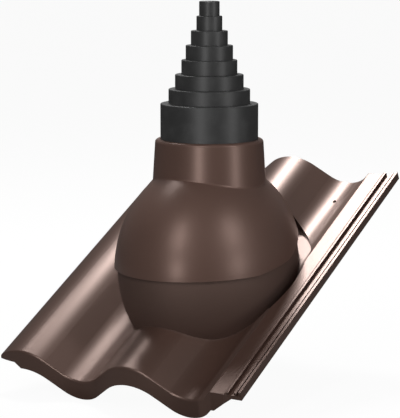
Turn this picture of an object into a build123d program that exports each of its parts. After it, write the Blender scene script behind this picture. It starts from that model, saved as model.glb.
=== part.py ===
# A roof pipe flashing. A two-wave roof tile carries a moulded ball, a hood tilts over the ball so
# that its collar stands upright on roofs of different pitch, and a stepped rubber sleeve in the
# collar is cut back to the ring that fits the pipe.
#
# Lengths are in millimetres, and Z is up. The origin is the centre of the ball, which the hood
# turns about. The tile is drawn flat about that point, with X across the roof, Y up the slope and
# Z square to the tile, and the finished tile is then turned about X to the pitch of the roof.

from build123d import *

import os
from math import asin, cos, degrees, radians, sin, sqrt, tan

os.makedirs("parts", exist_ok=True)

# Angles of the roof, in degrees
roof_pitch = 28.4
lowest_pitch = 15.0
steepest_pitch = 40.0

# Tile, as it lies flat
tile_length = 420.0
left_reach = 182.0
right_reach = 148.0
front_reach = 197.0
sheet = 3.5
crest_level = 4.5
wave_height = 34.0
half_wave = 74.0
crest_radius = 50.0
edge_crest_radius = 58.0
flank_angle = 38.0
wall_rise_angle = 40.0

# Side lap on the right: a flat channel with two ribs and an outer wall
channel_level = -12.5
channel_start = 106.5
channel_rib_places = (130.5, 140.5)
channel_rib_width = 3.0
channel_rib_height = 4.0
outer_wall = 3.0
outer_wall_top = -6.5
outer_wall_foot = -16.5

# Side lap on the left: two rounded ribs under the edge
lap_rib_places = (-180.0, -170.0)
lap_rib_width = 4.0
lap_rib_foot = -12.0
lap_end_level = -10.0
lap_end_width = 22.0
lap_end_slope_width = 9.0

# Front edge: it is rounded over, and its skirt leans forward
front_round = 2.5
skirt_drop = 20.5
skirt_lean = 7.0
skirt_wall = 4.0
skirt_right_step = 124.5
skirt_right_step_level = -23.0
skirt_right_end = 134.5
skirt_leave_angle = 32.0

# Fixing at the head
fixing_hole_diameter = 5.0
fixing_hole_from_head = 41.0
nib_width = 34.0
nib_wall = 5.0
nib_depth = 20.0
nib_from_head = 27.0
nib_gusset = 12.0

# Ball of the tile and the hood over it, both ellipses turned about X: a half width across the roof,
# and a radius in the upright plane up the slope.
hood_half_width = 104.5
hood_radius = 128.0
hood_wall = 3.0
hood_clearance = 1.0
ball_wall = 3.5

# Pocket behind the ball: an ellipse on the tile, with a floor that lies along the tile
pocket_side_room = 7.5
pocket_back_room = 14.0
pocket_floor_level = -34.0
pocket_floor_start = -30.0
pocket_ramp_angle = 55.0

# Rim of the hood, seen from the side: nearly level in front, and rising in two steps behind
rim_front_level = 2.0
rim_front_angle = 1.5
rim_rise_start = -47.0
rim_rise_angle = 10.5
rim_back_start = 14.0
rim_back_angle = 23.0
rim_bend_radius = 60.0

# Collar of the hood
collar_top = 151.7
collar_top_diameter = 127.5
collar_draft = 3.6
collar_wall = 3.0
collar_lip = 3.0
collar_round = 4.0
collar_blend = 3.0

# Stepped sleeve
step_diameters = (24.0, 30.3, 43.3, 55.5, 65.7, 80.6, 96.0, 115.2)
step_height = 17.05
sleeve_top = 312.8
sleeve_wall = 2.5
sleeve_flange = 2.5
sleeve_clearance = 0.3
step_round = 1.2

# Guide socket: a short pipe through the slot of the ball, with a saddle under it
socket_wall = 3.0
socket_clearance = 0.3
saddle_reach = 74.0
saddle_wall = 3.0
saddle_clearance = 0.5
slot_clearance = 1.5
bead_radius = 1.0
bead_below_top = 9.0
seat_length = 16.0

# Sizes that follow from those above
head_reach = tile_length - front_reach
trough_level = crest_level - wave_height
flank_rise = half_wave * tan(radians(flank_angle)) - wave_height
trough_radius = flank_rise / (1 / cos(radians(flank_angle)) - 1) - crest_radius
edge_crest = -2 * half_wave
edge_crest_angle = degrees(asin((left_reach + edge_crest) / edge_crest_radius))
ball_half_width = hood_half_width - hood_wall - hood_clearance
ball_radius = hood_radius - hood_wall - hood_clearance
pocket_half_width = hood_half_width + pocket_side_room
pocket_half_length = hood_radius + pocket_back_room
collar_seat_radius = collar_top_diameter / 2 - collar_wall
socket_radius = collar_seat_radius - socket_clearance
socket_top = collar_top - collar_lip - sleeve_clearance - sleeve_flange - sleeve_clearance
slot_radius = socket_radius + slot_clearance
collar_foot = hood_radius / 2
seat_foot = socket_top - seat_length
lip_radius = step_diameters[-1] / 2 + sleeve_clearance
flange_radius = collar_seat_radius - sleeve_clearance
saddle_half_width = ball_half_width - ball_wall - saddle_clearance
saddle_radius = ball_radius - ball_wall - saddle_clearance
socket_foot = saddle_radius / 2
nib_face = head_reach - nib_from_head
fixing_hole_place = head_reach - fixing_hole_from_head
space = 400.0
half_space = space / 2

# Two edges are the same one where their middles lie closer together than this
same_place = 0.1


def tile_line(depth=0.0):
    """Draw the section of the tile as an open line, from its left edge to its right edge.

    depth moves the line square to itself, as the underside of the sheet lies under its top. Returns
    the two ends.
    """
    crest = crest_radius - depth
    trough = trough_radius + depth
    crest_centre = crest_level - crest_radius
    trough_centre = trough_level + trough_radius
    edge_centre = (edge_crest, crest_level - edge_crest_radius)
    last_bend = flank_angle + wall_rise_angle
    bends = [
        CenterArc(edge_centre, edge_crest_radius - depth, 90 + edge_crest_angle, -edge_crest_angle),
        CenterArc((edge_crest, crest_centre), crest, 90, -flank_angle),
        CenterArc((-half_wave, trough_centre), trough, 270 - flank_angle, 2 * flank_angle),
        CenterArc((0, crest_centre), crest, 90 + flank_angle, -2 * flank_angle),
        CenterArc((half_wave, trough_centre), trough, 270 - flank_angle, last_bend),
    ]
    for bend, following in zip(bends[1:], bends[2:]):
        Line(bend @ 1, following @ 0)
    channel_corner = (channel_start + depth / 2, channel_level - depth)
    right_end = (right_reach, channel_level - depth)
    Polyline(bends[-1] @ 1, channel_corner, right_end)
    return bends[0] @ 0, Vector(*right_end)


def turned_ellipse(half_width, radius):
    """An ellipse turned about X, with this half width along X and this radius round it.

    It is a sphere drawn in along X, so its poles lie above and below, where every piece is open.
    """
    with BuildPart() as turned:
        Sphere(radius)
        scale(by=(half_width / radius, 1, 1))
    return turned.part


def pocket_column(wall=0.0):
    """An upright column on the outline of the pocket, or as far outside it as this wall."""
    with BuildPart() as column:
        with BuildSketch():
            Ellipse(pocket_half_width + wall, pocket_half_length + wall)
        extrude(amount=half_space, both=True)
    return column.part


def space_over_pocket_floor(depth=0.0):
    """Everything above the floor of the pocket, or above its underside, as deep as the tile."""
    level = pocket_floor_level - depth
    start = pocket_floor_start - depth / 2
    with BuildPart() as over_floor:
        with BuildSketch(Plane.YZ):
            with BuildLine():
                Polyline(
                    (space, level),
                    (start, level),
                    (start - space / tan(radians(pocket_ramp_angle)), level + space),
                    (space, level + space),
                    close=True,
                )
            make_face()
        extrude(amount=half_space, both=True)
    return over_floor.part


def tile_region(depth, level):
    """The long solid between the tile's line at this depth and a level above or below it."""
    with BuildPart() as region:
        with BuildSketch(Plane.XZ.offset(-head_reach)):
            with BuildLine():
                left_end, right_end = tile_line(depth)
                Polyline(right_end, (right_end.X, level), (left_end.X, level), left_end)
            make_face()
        extrude(amount=tile_length)
    return region.part


# Ground of the tile: the sheet, and the pocket that goes down behind the ball
below_top = tile_region(0.0, -space)
above_sheet_middle = tile_region(sheet / 2, space)
above_floor = space_over_pocket_floor()
above_floor_middle = space_over_pocket_floor(sheet / 2)
above_floor_underside = space_over_pocket_floor(sheet)
ball_outside = turned_ellipse(ball_half_width, ball_radius)
ball_inside = turned_ellipse(ball_half_width - ball_wall, ball_radius - ball_wall)

with BuildPart() as pocket_block:
    add(pocket_column(sheet))
    add(above_floor_underside, mode=Mode.INTERSECT)
    add(below_top, mode=Mode.INTERSECT)

with BuildPart() as pocket_room:
    add(pocket_column())
    add(above_floor, mode=Mode.INTERSECT)

with BuildPart() as ground_space:
    add(above_sheet_middle)
    add(above_floor_middle)

with BuildPart() as ball_body:
    add(ball_outside)
    add(ground_space.part, mode=Mode.INTERSECT)

# The slot in the ball is the path of the socket from the lowest roof pitch to the steepest
with BuildPart() as slot_path:
    for pitch in (lowest_pitch, steepest_pitch):
        lean = Plane((0, 0, 0), x_dir=(1, 0, 0), z_dir=(0, sin(radians(pitch)), cos(radians(pitch))))
        with BuildSketch(lean.offset(ball_radius / 2)):
            Circle(slot_radius)
        extrude(amount=ball_radius)
    with BuildSketch(Plane.YZ):
        with BuildLine():
            low, steep = radians(lowest_pitch), radians(steepest_pitch)
            Polyline(
                (0, 0),
                (half_space * sin(low), half_space * cos(low)),
                (half_space * sin(steep), half_space * cos(steep)),
                close=True,
            )
        make_face()
    extrude(amount=slot_radius, both=True)

# Front skirt: it follows the wave and leans forward, and is cut back under the two side laps
with BuildLine(Plane.XZ.offset(front_reach)) as front_line:
    tile_line()
front_edges = front_line.edges().sort_by(Axis.X)

with BuildPart() as front_skirt:
    for edge in front_edges:
        ribbon = Face.extrude(edge, Vector(0, skirt_wall, 0))
        add(Solid.extrude(ribbon, Vector(0, -skirt_lean, -skirt_drop)))
    with BuildSketch(Plane.XZ.offset(front_reach)):
        with BuildLine():
            lap_inner = -left_reach + lap_end_width
            Polyline(
                (-left_reach, lap_end_level),
                (lap_inner, lap_end_level),
                (lap_inner + lap_end_slope_width, crest_level - skirt_drop),
                (lap_inner + lap_end_slope_width, -space),
                (-left_reach, -space),
                close=True,
            )
        make_face()
        with BuildLine():
            leave = radians(skirt_leave_angle)
            leave_place = half_wave + trough_radius * sin(leave)
            leave_level = trough_level - skirt_drop + trough_radius * (1 - cos(leave))
            Polyline(
                (right_reach, outer_wall_foot),
                (skirt_right_end, outer_wall_foot),
                (skirt_right_step, skirt_right_step_level),
                (leave_place, leave_level),
                (leave_place, -space),
                (right_reach, -space),
                close=True,
            )
        make_face()
    extrude(amount=2 * skirt_lean, both=True, mode=Mode.SUBTRACT)

with BuildPart() as flat_tile:
    # Sheet, ribs and outer wall of the side lap, drawn across the roof and drawn out up the slope
    with BuildSketch(Plane.XZ.offset(-head_reach)):
        with BuildLine():
            top_left, top_right = tile_line()
            under_left, under_right = tile_line(sheet)
            Line(top_left, under_left)
            Line(top_right, under_right)
        make_face()
        for place in channel_rib_places:
            with Locations((place, channel_level)):
                Rectangle(channel_rib_width, 2 * channel_rib_height)
        with Locations((right_reach, outer_wall_foot)):
            Rectangle(outer_wall, outer_wall_top - outer_wall_foot, align=(Align.MAX, Align.MIN))
        for place in lap_rib_places:
            rise = sqrt(edge_crest_radius**2 - (place - edge_crest) ** 2) - edge_crest_radius
            rib_centre = lap_rib_foot + lap_rib_width / 2
            rib_height = crest_level + rise - sheet / 2 - rib_centre
            with Locations((place, rib_centre)):
                Circle(lap_rib_width / 2)
                Rectangle(lap_rib_width, rib_height, align=(Align.CENTER, Align.MIN))
    extrude(amount=tile_length)

    add(front_skirt.part)

    # The front edge of the wave is rounded over, as far as the side laps
    wave_middles = [edge @ 0.5 for edge in front_edges[1:-2]]
    wave_front = [
        edge
        for edge in flat_tile.edges()
        if min((edge @ 0.5 - middle).length for middle in wave_middles) < same_place
    ]
    fillet(wave_front, front_round)

    add(pocket_block.part)
    add(pocket_room.part, mode=Mode.SUBTRACT)
    add(ball_body.part)
    add(ball_inside, mode=Mode.SUBTRACT)
    add(slot_path.part, mode=Mode.SUBTRACT)

    # Two nibs under the head hook over the batten, each with a gusset behind it
    for place in (-half_wave, half_wave):
        with BuildSketch(Plane.YZ.offset(place)):
            with BuildLine():
                Polyline(
                    (nib_face, trough_level - sheet / 2),
                    (nib_face, trough_level - sheet - nib_depth),
                    (nib_face + nib_wall, trough_level - sheet - nib_depth),
                    (nib_face + nib_wall + nib_gusset, trough_level - sheet / 2),
                    close=True,
                )
            make_face()
        extrude(amount=nib_wall / 2, both=True)
        with Locations((place, nib_face, trough_level - sheet - nib_depth)):
            Box(nib_width, nib_wall, nib_depth + sheet / 2, align=(Align.CENTER, Align.MIN, Align.MIN))

    # Fixing holes in the troughs
    with Locations(Plane.XY.offset(trough_level)):
        with Locations((-half_wave, fixing_hole_place), (half_wave, fixing_hole_place)):
            Hole(fixing_hole_diameter / 2, depth=2 * sheet)

base_tile = flat_tile.part.rotate(Axis.X, roof_pitch)
base_tile.label = "base_tile"
export_step(base_tile, "parts/base_tile.step")

hood_outside = turned_ellipse(hood_half_width, hood_radius)
hood_inside = turned_ellipse(hood_half_width - hood_wall, hood_radius - hood_wall)
collar_lean = tan(radians(collar_draft))

with BuildPart() as hood:
    add(hood_outside)
    with BuildSketch(Plane.XZ):
        with BuildLine():
            Polyline(
                (0, collar_foot),
                (collar_top_diameter / 2 + collar_lean * (collar_top - collar_foot), collar_foot),
                (collar_top_diameter / 2, collar_top),
                (0, collar_top),
                close=True,
            )
        make_face()
    revolve(axis=Axis.Z)
    fillet(hood.edges().group_by(Axis.Z)[-1], collar_round)
    collar_line = hood.edges().filter_by_position(Axis.Z, collar_foot, collar_top - 2 * collar_round)
    fillet(collar_line, collar_blend)
    add(hood_inside, mode=Mode.SUBTRACT)

    # Room inside the collar: the sleeve's bore in the lip, the seat of the socket, then the draft
    with BuildSketch(Plane.XZ):
        with BuildLine():
            draft_start = collar_top_diameter / 2 + collar_lean * (collar_top - seat_foot) - collar_wall
            Polyline(
                (0, collar_top),
                (lip_radius, collar_top),
                (lip_radius, collar_top - collar_lip),
                (collar_seat_radius, collar_top - collar_lip),
                (collar_seat_radius, seat_foot),
                (draft_start, seat_foot - (draft_start - collar_seat_radius)),
                (draft_start + collar_lean * (seat_foot - collar_foot), collar_foot),
                (0, collar_foot),
                close=True,
            )
        make_face()
    revolve(axis=Axis.Z, mode=Mode.SUBTRACT)
    with BuildSketch(Plane.XZ):
        with Locations((collar_seat_radius, socket_top - bead_below_top)):
            Circle(bead_radius + socket_clearance)
    revolve(axis=Axis.Z, mode=Mode.SUBTRACT)

    # Rim: level in front of the hinge, and rising behind it to clear the tile
    with BuildSketch(Plane.YZ):
        with BuildLine():
            front_rise = tan(radians(rim_front_angle))
            rise_level = rim_front_level + front_rise * (hood_radius + rim_rise_start)
            back_level = rise_level + tan(radians(rim_rise_angle)) * (rim_back_start - rim_rise_start)
            rim = FilletPolyline(
                (-space, rim_front_level - front_rise * (space - hood_radius)),
                (rim_rise_start, rise_level),
                (rim_back_start, back_level),
                (space, back_level + tan(radians(rim_back_angle)) * (space - rim_back_start)),
                radius=rim_bend_radius,
            )
            Polyline(rim @ 1, (space, -space), (-space, -space), rim @ 0)
        make_face()
    extrude(amount=half_space, both=True, mode=Mode.SUBTRACT)

hood.part.label = "hood"
export_step(hood.part, "parts/hood.step")

with BuildPart() as stepped_sleeve:
    with BuildSketch(Plane.XZ):
        with BuildLine():
            radii = [diameter / 2 for diameter in step_diameters]
            tops = [sleeve_top - step_height * number for number in range(len(radii))]
            Line((radii[0] - sleeve_wall, sleeve_top), (radii[0] - step_round, sleeve_top))
            for radius, top, next_radius, next_top in zip(radii, tops, radii[1:], tops[1:]):
                CenterArc((radius - step_round, top - step_round), step_round, 0, 90)
                Polyline(
                    (radius, top - step_round),
                    (radius, next_top),
                    (next_radius - step_round, next_top),
                )
                Polyline(
                    (radius - sleeve_wall, sleeve_top if radius == radii[0] else top - sleeve_wall),
                    (radius - sleeve_wall, next_top - sleeve_wall),
                    (next_radius - sleeve_wall, next_top - sleeve_wall),
                )
            foot = socket_top + sleeve_clearance
            CenterArc((radii[-1] - step_round, tops[-1] - step_round), step_round, 0, 90)
            Polyline(
                (radii[-1], tops[-1] - step_round),
                (radii[-1], foot + sleeve_flange),
                (flange_radius, foot + sleeve_flange),
                (flange_radius, foot),
                (radii[-1] - sleeve_wall, foot),
                (radii[-1] - sleeve_wall, tops[-1] - sleeve_wall),
            )
        make_face()
    revolve(axis=Axis.Z)

stepped_sleeve.part.label = "stepped_sleeve"
export_step(stepped_sleeve.part, "parts/stepped_sleeve.step")

saddle_outside = turned_ellipse(saddle_half_width, saddle_radius)
saddle_inside = turned_ellipse(saddle_half_width - saddle_wall, saddle_radius - saddle_wall)

with BuildPart() as guide_socket:
    add(saddle_outside)
    with BuildSketch(Plane.XY):
        Circle(saddle_reach)
    extrude(amount=ball_radius, mode=Mode.INTERSECT)
    with BuildSketch(Plane.XY.offset(socket_foot)):
        Circle(socket_radius)
    extrude(amount=socket_top - socket_foot)
    with BuildSketch(Plane.XZ):
        with Locations((socket_radius, socket_top - bead_below_top)):
            Circle(bead_radius)
    revolve(axis=Axis.Z)
    add(saddle_inside, mode=Mode.SUBTRACT)
    with BuildSketch(Plane.XY):
        Circle(socket_radius - socket_wall)
    extrude(amount=collar_top, mode=Mode.SUBTRACT)

guide_socket.part.label = "guide_socket"
export_step(guide_socket.part, "parts/guide_socket.step")
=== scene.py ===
"""The look of a roof pipe flashing: finishes for its tile, hood, sleeve and socket, and a small studio.

Lengths are metres in the part's own frame: X across the roof, Y level towards the ridge, Z up, and
the origin at the centre of the ball that the hood tilts about.
"""

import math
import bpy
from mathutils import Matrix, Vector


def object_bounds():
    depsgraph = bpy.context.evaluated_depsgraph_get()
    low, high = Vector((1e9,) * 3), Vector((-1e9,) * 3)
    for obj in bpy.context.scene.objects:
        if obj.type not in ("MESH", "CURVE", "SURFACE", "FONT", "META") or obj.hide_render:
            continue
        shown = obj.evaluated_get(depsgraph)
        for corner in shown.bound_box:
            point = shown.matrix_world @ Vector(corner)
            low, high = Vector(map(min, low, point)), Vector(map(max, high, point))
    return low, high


bl_info = {
    "name": "Roof Pipe Flashing",
    "version": (1, 0, 0),
    "blender": (4, 5, 0),
    "location": "View3D > Sidebar > Flashing",
    "description": "Finishes and studio for a roof tile with a tilting hood and a stepped rubber sleeve",
    "category": "Object",
}

import bpy
from bpy.props import FloatProperty, FloatVectorProperty, PointerProperty
from mathutils import Matrix, Vector

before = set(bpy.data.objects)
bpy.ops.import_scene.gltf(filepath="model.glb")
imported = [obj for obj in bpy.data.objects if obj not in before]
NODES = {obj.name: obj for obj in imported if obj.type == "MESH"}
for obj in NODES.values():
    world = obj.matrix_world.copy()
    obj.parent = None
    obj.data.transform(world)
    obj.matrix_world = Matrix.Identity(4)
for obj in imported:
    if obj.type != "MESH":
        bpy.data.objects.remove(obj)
CAD_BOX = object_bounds()

# The sheen of the brown plastic is warm: the pigment lies close under its skin
GLOSS_TINT = (1.0, 0.72, 0.63, 1.0)

# Places on the tile, each with the two lengths between which its edge fades: all three are rougher,
# and the ball and the strip are also painted darker as shade. The ball is an ellipse turned about X,
# so it becomes a sphere once x is stretched.
BALL_STRETCH = (1.23, 1, 1)
BALL_EDGE = (0.1245, 0.1265)
STRIP_START, STRIP_END = (0.1248, 0.1262), (0.1290, 0.1300)
WALL_START, WALL_END = (0.084, 0.092), (0.105, 0.108)

# How strong the small lamps at the feet of the two tall ones are, against the tall ones
LEFT_FOOT, RIGHT_FOOT = 0.7, 0.6

# How much of the floor's white is its own for the camera, and half the floor's width
FLOOR_GLOW = 0.95
FLOOR_HALF = 30.0


class Socket:
    """An output socket that takes part in sums: each operation adds a Math node to its tree."""

    def __init__(self, shader, link):
        self.shader, self.link = shader, link

    def _math(self, operation, *values):
        return self.shader.node("ShaderNodeMath", {"operation": operation}, dict(enumerate(values)))

    def __add__(self, other):
        return self._math("ADD", self, other)

    def __radd__(self, other):
        return self._math("ADD", other, self)

    def __sub__(self, other):
        return self._math("SUBTRACT", self, other)

    def __rsub__(self, other):
        return self._math("SUBTRACT", other, self)

    def __mul__(self, other):
        return self._math("MULTIPLY", self, other)

    def __rmul__(self, other):
        return self._math("MULTIPLY", other, self)

    def clamp(self):
        """The value kept between 0 and 1."""
        return self.shader.node("ShaderNodeClamp", {}, {"Value": self}, "Result")

    def smooth(self, low, high):
        """A smooth step: 0 at low or less, and 1 at high or more."""
        sockets = {"Value": self, "From Min": low, "From Max": high}
        kind = {"interpolation_type": "SMOOTHSTEP"}
        return self.shader.node("ShaderNodeMapRange", kind, sockets, "Result")


class Shader:
    """The node tree of a material or a world, built from calls of one method."""

    def __init__(self, owner):
        owner.use_nodes = True
        self.owner, self.tree = owner, owner.node_tree
        self.tree.nodes.clear()

    def node(self, kind, settings, sockets, output=0):
        """Add a node: its settings first, then the values or links of its sockets."""
        made = self.tree.nodes.new(kind)
        for key, value in settings.items():
            setattr(made, key, value)
        for key, value in sockets.items():
            if isinstance(value, Socket):
                self.tree.links.new(value.link, made.inputs[key])
            else:
                made.inputs[key].default_value = value
        return Socket(self, made.outputs[output]) if made.outputs else None

    def place(self, stretch=(1, 1, 1)):
        """The object's own coordinates in metres, stretched along its axes."""
        place = self.node("ShaderNodeTexCoord", {}, {}, "Object")
        return self.node("ShaderNodeMapping", {}, {"Vector": place, "Scale": stretch}, "Vector")

    def across(self):
        """The object's own x in metres."""
        return self.node("ShaderNodeSeparateXYZ", {}, {"Vector": self.place()}, "X")

    def distance(self, stretch):
        """How far a place is from the origin, once it is stretched along the axes."""
        sockets = {0: self.place(stretch)}
        return self.node("ShaderNodeVectorMath", {"operation": "LENGTH"}, sockets, "Value")

    def noise(self, scale, detail, roughness=0.5):
        """Noise over the object's own coordinates: scale is in lumps per metre."""
        sockets = {"Vector": self.place(), "Scale": scale, "Detail": detail, "Roughness": roughness}
        return self.node("ShaderNodeTexNoise", {}, sockets, "Fac")

    def mix(self, factor, first, second):
        """A colour between two colours: 0, 6 and 7 are the node's factor and its two colours."""
        sockets = {0: factor, 6: first, 7: second}
        return self.node("ShaderNodeMix", {"data_type": "RGBA"}, sockets, 2)

    def bump(self, height, distance):
        """A normal tilted by a height, which is given in units of distance."""
        sockets = {"Height": height, "Strength": 1.0, "Distance": distance}
        return self.node("ShaderNodeBump", {}, sockets, "Normal")

    def finish(self, **sockets):
        """The surface itself, with named sockets of the Principled node."""
        named = {key.replace("_", " "): value for key, value in sockets.items()}
        surface = self.node("ShaderNodeBsdfPrincipled", {}, named, "BSDF")
        self.node("ShaderNodeOutputMaterial", {}, {"Surface": surface})
        return self.owner


def opaque(color):
    """A colour with full alpha."""
    return (*color, 1.0)


def moulded_plastic(name, color, roughness, grain, depth, sheen=0.5, index=1.5, roughness_and_painted_shade=0.0):
    """Moulded brown plastic: slow changes of shade and gloss, and the fine skin of the mould.

    grain is the scale of the skin and depth its height. sheen and index are the level of the sheen
    and its index of refraction. roughness_and_painted_shade is for the tile only: how much rougher
    it is on the ball that the hood slides on and on a strip of the ledge, and how much darker these
    two are painted. This is painted shade: the shade under the hood on the ball, and the shade of a
    groove beside the ledge's rib that the shape lacks on the strip. The ball is the places whose
    distance from the origin, with x stretched, is less than 125.5 mm. The strip runs up the roof
    between x = 125.5 and 129.5 mm. The wall that rises to the ledge, between x = 88 and 106 mm, is
    rougher too.
    """
    shader = Shader(bpy.data.materials.new(name))
    cloud = shader.noise(scale=7.0, detail=3.0)
    skin = shader.noise(scale=grain, detail=3.0, roughness=0.6)
    dark = opaque(tuple(0.92 * c for c in color))
    light = opaque(tuple(1.08 * c for c in color))
    shade = shader.mix((0.7 * cloud + 0.3 * skin).clamp(), dark, light)
    gloss = roughness + 0.10 * (cloud - 0.5) + 0.06 * (skin - 0.5)
    normal = shader.bump(skin, depth)
    if roughness_and_painted_shade:
        x = shader.across()
        ball = 1 - shader.distance(BALL_STRETCH).smooth(*BALL_EDGE)
        strip = x.smooth(*STRIP_START) * (1 - x.smooth(*STRIP_END))
        wall = (1 - ball) * x.smooth(*WALL_START) * (1 - x.smooth(*WALL_END))
        gloss = gloss + roughness_and_painted_shade * (ball + 1.5 * (strip + wall))
        # Painted shade: the ball under the hood and the strip beside the ledge are darkened towards
        # black
        shade = shader.mix((roughness_and_painted_shade * (ball + strip)).clamp(), shade, opaque((0, 0, 0)))
    return shader.finish(Base_Color=shade, Roughness=gloss.clamp(), Normal=normal, IOR=index,
                         Specular_IOR_Level=sheen, Specular_Tint=GLOSS_TINT)


def rubber(name, color, roughness):
    """Near-black rubber: a matt, slightly dusty skin with a fine grain."""
    shader = Shader(bpy.data.materials.new(name))
    dust = shader.noise(scale=60.0, detail=4.0)
    grain = shader.noise(scale=2200.0, detail=2.0)
    light = opaque(tuple(1.5 * c + 0.004 for c in color))
    shade = shader.mix((dust * 0.6 + grain * 0.4).smooth(0.4, 0.75), opaque(color), light)
    gloss = (roughness + 0.12 * (dust - 0.5)).clamp()
    normal = shader.bump(grain, 0.00002)
    return shader.finish(Base_Color=shade, Roughness=gloss, Normal=normal, IOR=1.5)


def dress(name, material):
    """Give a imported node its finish."""
    materials = NODES[name].data.materials
    materials.clear()
    materials.append(material)


class FinishSettings(bpy.types.PropertyGroup):
    """Colours and gloss of the four pieces."""

    tile_color: FloatVectorProperty(
        name="Tile colour", description="Brown of the tile and its ball", subtype="COLOR",
        size=3, min=0.0, max=1.0, default=(0.053, 0.029, 0.022))
    tile_roughness: FloatProperty(
        name="Tile roughness", description="Lower is glossier", subtype="FACTOR",
        min=0.0, max=1.0, default=0.38)
    hood_color: FloatVectorProperty(
        name="Hood colour", description="Brown of the hood and its collar", subtype="COLOR",
        size=3, min=0.0, max=1.0, default=(0.092, 0.053, 0.042))
    hood_roughness: FloatProperty(
        name="Hood roughness", description="Lower is glossier", subtype="FACTOR",
        min=0.0, max=1.0, default=0.38)
    sleeve_color: FloatVectorProperty(
        name="Sleeve colour", description="Near-black of the rubber sleeve", subtype="COLOR",
        size=3, min=0.0, max=1.0, default=(0.030, 0.030, 0.030))
    sleeve_roughness: FloatProperty(
        name="Sleeve roughness", description="Lower is glossier", subtype="FACTOR",
        min=0.0, max=1.0, default=0.45)
    socket_color: FloatVectorProperty(
        name="Socket colour", description="Black of the hidden guide socket", subtype="COLOR",
        size=3, min=0.0, max=1.0, default=(0.02, 0.02, 0.02))


class StudioSettings(bpy.types.PropertyGroup):
    """Camera, lamps and floor."""

    azimuth: FloatProperty(
        name="Azimuth", description="The way the camera looks, turned from +Y towards -X, in degrees",
        default=32.75)
    elevation: FloatProperty(
        name="Elevation", description="How far the camera looks down, in degrees", default=8.67)
    distance: FloatProperty(
        name="Distance", description="From the camera to the ball's centre along the view",
        subtype="DISTANCE", unit="LENGTH", default=2.1695)
    side_offset: FloatProperty(
        name="Side offset", description="How far right of the picture's middle the ball's centre is",
        subtype="DISTANCE", unit="LENGTH", default=0.01094)
    height_offset: FloatProperty(
        name="Height offset", description="How far over the picture's middle the ball's centre is",
        subtype="DISTANCE", unit="LENGTH", default=-0.06669)
    lens: FloatProperty(
        name="Lens", description="Focal length on a sensor 36 mm high, in millimetres",
        default=156.75)
    ridge_power: FloatProperty(
        name="Ridge lamp", description="Power of the lamp high over the upper left of the roof",
        subtype="POWER", default=28.0)
    side_power: FloatProperty(
        name="Side lamp", description="Power of the small lamp high on the left", subtype="POWER",
        default=3.2)
    left_power: FloatProperty(
        name="Left lamp", description="Power of the tall lamp left of the camera", subtype="POWER",
        default=12.0)
    right_power: FloatProperty(
        name="Right lamp", description="Power of the tall lamp right of the camera", subtype="POWER",
        default=10.5)
    fill_power: FloatProperty(
        name="Fill lamp", description="Power of the wide lamp that only lifts the shade",
        subtype="POWER", default=11.0)
    ambient: FloatProperty(
        name="Ambient", description="Strength of the even light from all round", min=0.0,
        default=0.07)
    mirrored: FloatProperty(
        name="Mirrored", description="How much of the white background shows in glossy surfaces",
        subtype="FACTOR", min=0.0, max=1.0, default=0.05)
    floor_drop: FloatProperty(
        name="Floor drop", description="From the part's lowest point down to the floor",
        subtype="DISTANCE", unit="LENGTH", min=0.0, default=0.001)


def view_frame(azimuth, elevation):
    """The camera's right, up and forward vectors for two angles in degrees."""
    a, e = math.radians(azimuth), math.radians(elevation)
    right = Vector((math.cos(a), math.sin(a), 0))
    forward = Vector((-math.sin(a) * math.cos(e), math.cos(a) * math.cos(e), -math.sin(e)))
    return right, right.cross(forward), forward


def place_lamp(name, power, direction, distance, width, height, mirrored=True, aim=(0, 0, 0.08)):
    """A soft oblong lamp in a direction from a point that it faces. Gloss may mirror it."""
    data = bpy.data.lights.new(name, "AREA")
    data.shape, data.size, data.size_y, data.energy = "RECTANGLE", width, height, power
    lamp = bpy.data.objects.new(name, data)
    bpy.context.scene.collection.objects.link(lamp)
    way = Vector(direction).normalized()
    lamp.location = Vector(aim) + way * distance
    lamp.rotation_euler = way.to_track_quat("Z", "Y").to_euler()
    lamp.visible_camera, lamp.visible_glossy = False, mirrored


def level_way(azimuth, elevation):
    """A direction from the part: azimuth is turned to the right from the camera's side, in degrees."""
    a, e = math.radians(azimuth), math.radians(elevation)
    right, _, forward = view_frame(bpy.context.scene.flashing_studio.azimuth, 0)
    level = -forward * math.cos(a) + right * math.sin(a)
    return level * math.cos(e) + Vector((0, 0, math.sin(e)))


class FLASHING_OT_tile(bpy.types.Operator):
    """Finish the tile in glossy brown plastic."""

    bl_idname = "flashing.tile"
    bl_label = "Tile finish"

    def execute(self, context):
        s = context.scene.flashing_finish
        # The tile is rougher on the ball and on a strip of the ledge, and these two carry painted shade
        plastic = moulded_plastic("tile_plastic", s.tile_color, s.tile_roughness, grain=1800.0,
                                  depth=0.000002, sheen=1.0, index=1.65, roughness_and_painted_shade=0.3)
        dress("base_tile", plastic)
        return {"FINISHED"}


class FLASHING_OT_hood(bpy.types.Operator):
    """Finish the hood in satin brown plastic."""

    bl_idname = "flashing.hood"
    bl_label = "Hood finish"

    def execute(self, context):
        s = context.scene.flashing_finish
        plastic = moulded_plastic("hood_plastic", s.hood_color, s.hood_roughness, grain=2400.0,
                                  depth=0.00001, sheen=0.85)
        dress("hood", plastic)
        return {"FINISHED"}


class FLASHING_OT_sleeve(bpy.types.Operator):
    """Finish the stepped sleeve in near-black rubber."""

    bl_idname = "flashing.sleeve"
    bl_label = "Sleeve finish"

    def execute(self, context):
        s = context.scene.flashing_finish
        dress("stepped_sleeve", rubber("sleeve_rubber", s.sleeve_color, s.sleeve_roughness))
        return {"FINISHED"}


class FLASHING_OT_socket(bpy.types.Operator):
    """Finish the hidden guide socket in matt black plastic."""

    bl_idname = "flashing.socket"
    bl_label = "Socket finish"

    def execute(self, context):
        s = context.scene.flashing_finish
        plastic = moulded_plastic("socket_plastic", s.socket_color, roughness=0.6, grain=1500.0,
                                  depth=0.00001)
        dress("guide_socket", plastic)
        return {"FINISHED"}


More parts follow.
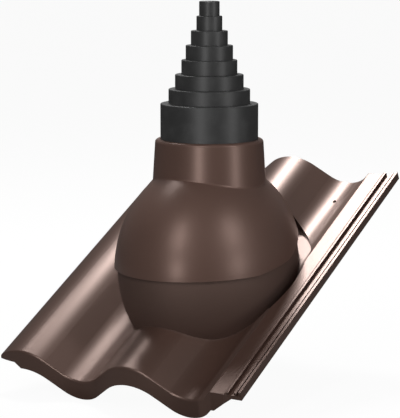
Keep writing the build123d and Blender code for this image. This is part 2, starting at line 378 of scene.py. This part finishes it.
class FLASHING_OT_stage(bpy.types.Operator):
    """Set up the floor, the lamps, the world and the camera."""

    bl_idname = "flashing.stage"
    bl_label = "Stage"

    def execute(self, context):
        s = context.scene.flashing_studio
        self.floor(s)
        self.lamps(s)
        self.world(s)
        self.camera(context.scene, s)
        context.scene.view_settings.view_transform = "Standard"
        return {"FINISHED"}

    def floor(self, s):
        """A wide white floor: what the camera sees of it is mostly its own white, less the shadow."""
        level, half = CAD_BOX[0][2] - s.floor_drop, FLOOR_HALF
        corners = [(x * half, y * half, level) for x, y in ((-1, -1), (1, -1), (1, 1), (-1, 1))]
        mesh = bpy.data.meshes.new("floor")
        mesh.from_pydata(corners, [], [(0, 1, 2, 3)])
        floor = bpy.data.objects.new("floor", mesh)
        bpy.context.scene.collection.objects.link(floor)
        shader = Shader(bpy.data.materials.new("floor_white"))
        camera_ray = shader.node("ShaderNodeLightPath", {}, {}, "Is Camera Ray")
        tone = shader.mix(camera_ray, (0.15, 0.15, 0.15, 1), (0.8, 0.8, 0.8, 1))
        paint = shader.node("ShaderNodeBsdfDiffuse", {}, {"Color": tone}, "BSDF")
        white = {"Color": (1, 1, 1, 1), "Strength": 1.0}
        glow = shader.node("ShaderNodeEmission", {}, white, "Emission")
        sockets = {0: camera_ray * FLOOR_GLOW, 1: paint, 2: glow}
        mixed = shader.node("ShaderNodeMixShader", {}, sockets, "Shader")
        shader.node("ShaderNodeOutputMaterial", {}, {"Surface": mixed})
        mesh.materials.append(shader.owner)

    def lamps(self, s):
        """Two lamps high on the left for the tile, two tall ones with feet for the hood, and a fill."""
        overhead, above, beside, tall, foot = (0, 0, 1), 1.5, 2.2, (0.30, 1.00), (0.25, 0.45)
        place_lamp("ridge_lamp", s.ridge_power, overhead, above, 0.50, 0.36, aim=(-0.50, 0.63, 0))
        place_lamp("side_lamp", s.side_power, overhead, above, 0.22, 0.30, aim=(-0.95, 0.16, 0))
        place_lamp("left_lamp", s.left_power, level_way(-23, 34), beside, *tall)
        place_lamp("right_lamp", s.right_power, level_way(54, 30), beside, *tall)
        place_lamp("left_foot_lamp", s.left_power * LEFT_FOOT, level_way(-21, 1), beside, *foot)
        place_lamp("right_foot_lamp", s.right_power * RIGHT_FOOT, level_way(54, 1), beside, *foot)
        place_lamp("front_fill", s.fill_power, level_way(-20, 40), 2.4, 1.6, 1.2, mirrored=False)

    def world(self, s):
        """White where the camera looks past the part, and an even dim light for everything else."""
        shader = Shader(bpy.data.worlds.new("studio"))
        seen = shader.node("ShaderNodeLightPath", {}, {}, "Is Camera Ray")
        through = shader.node("ShaderNodeLightPath", {}, {}, "Is Transmission Ray")
        mirrored = shader.node("ShaderNodeLightPath", {}, {}, "Is Glossy Ray")
        white = (seen + through + s.mirrored * mirrored).clamp()
        strength = white * (1 - s.ambient) + s.ambient
        sockets = {"Color": (1, 1, 1, 1), "Strength": strength}
        sky = shader.node("ShaderNodeBackground", {}, sockets, "Background")
        shader.node("ShaderNodeOutputWorld", {}, {"Surface": sky})
        bpy.context.scene.world = shader.owner

    def camera(self, scene, s):
        """The photograph's camera, worked out from the outlines of the tile and the hood."""
        data = bpy.data.cameras.new("camera")
        data.sensor_fit, data.sensor_height, data.lens = "VERTICAL", 36.0, s.lens
        camera = bpy.data.objects.new("camera", data)
        scene.collection.objects.link(camera)
        right, up, forward = view_frame(s.azimuth, s.elevation)
        camera.location = -(s.side_offset * right + s.height_offset * up + s.distance * forward)
        camera.rotation_euler = Matrix((right, up, -forward)).transposed().to_euler()
        scene.camera = camera


class FLASHING_PT_panel(bpy.types.Panel):
    """Lists the pieces and their settings in the sidebar."""

    bl_label = "Roof pipe flashing"
    bl_space_type = "VIEW_3D"
    bl_region_type = "UI"
    bl_category = "Flashing"

    def draw(self, context):
        for group in (context.scene.flashing_finish, context.scene.flashing_studio):
            for name in group.__annotations__:
                self.layout.prop(group, name)
        for operator in OPERATORS:
            self.layout.operator(operator.bl_idname)


OPERATORS = (
    FLASHING_OT_stage, FLASHING_OT_tile, FLASHING_OT_hood, FLASHING_OT_sleeve, FLASHING_OT_socket)
CLASSES = (FinishSettings, StudioSettings, *OPERATORS, FLASHING_PT_panel)


def register():
    """Add the settings, the operators and the panel."""
    for cls in CLASSES:
        bpy.utils.register_class(cls)
    bpy.types.Scene.flashing_finish = PointerProperty(type=FinishSettings)
    bpy.types.Scene.flashing_studio = PointerProperty(type=StudioSettings)


def unregister():
    """Take them away again."""
    del bpy.types.Scene.flashing_studio
    del bpy.types.Scene.flashing_finish
    for cls in reversed(CLASSES):
        bpy.utils.unregister_class(cls)


def main():
    """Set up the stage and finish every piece."""
    register()
    bpy.ops.flashing.stage()
    bpy.ops.flashing.tile()
    bpy.ops.flashing.hood()
    bpy.ops.flashing.sleeve()
    bpy.ops.flashing.socket()


if __name__ == "__main__":
    main()
